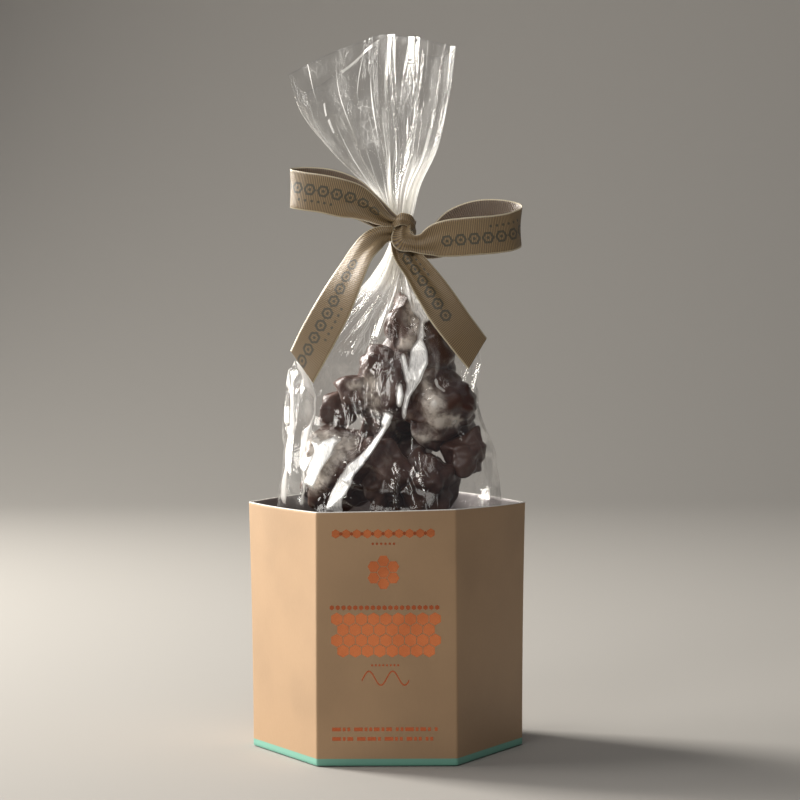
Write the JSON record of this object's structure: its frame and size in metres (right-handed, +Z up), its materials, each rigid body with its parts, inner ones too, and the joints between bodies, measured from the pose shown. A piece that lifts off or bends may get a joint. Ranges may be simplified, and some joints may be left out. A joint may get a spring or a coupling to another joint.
{
  "type": "gift pack of chocolate honeycomb toffee",
  "caption": "Six-sided open gift carton holding a clear film bag of chocolate honeycomb toffee, gathered at the neck and tied with a grosgrain ribbon bow.",
  "frame": {"origin": "middle of the carton's base, on the surface that it stands on", "axes": "+Z up through the bag's tie and flare, +Y away from the front panel, +X to the right seen from the front"},
  "size_m": [0.1106, 0.0976, 0.2843],
  "materials": {
    "kraft_board": "satin",
    "clear_film": "gloss",
    "grosgrain": "matte"
  },
  "bodies": {
    "root": {"carton": "kraft_board", "bag": "clear_film", "ribbon": "grosgrain"}
  },
  "joints": []
}
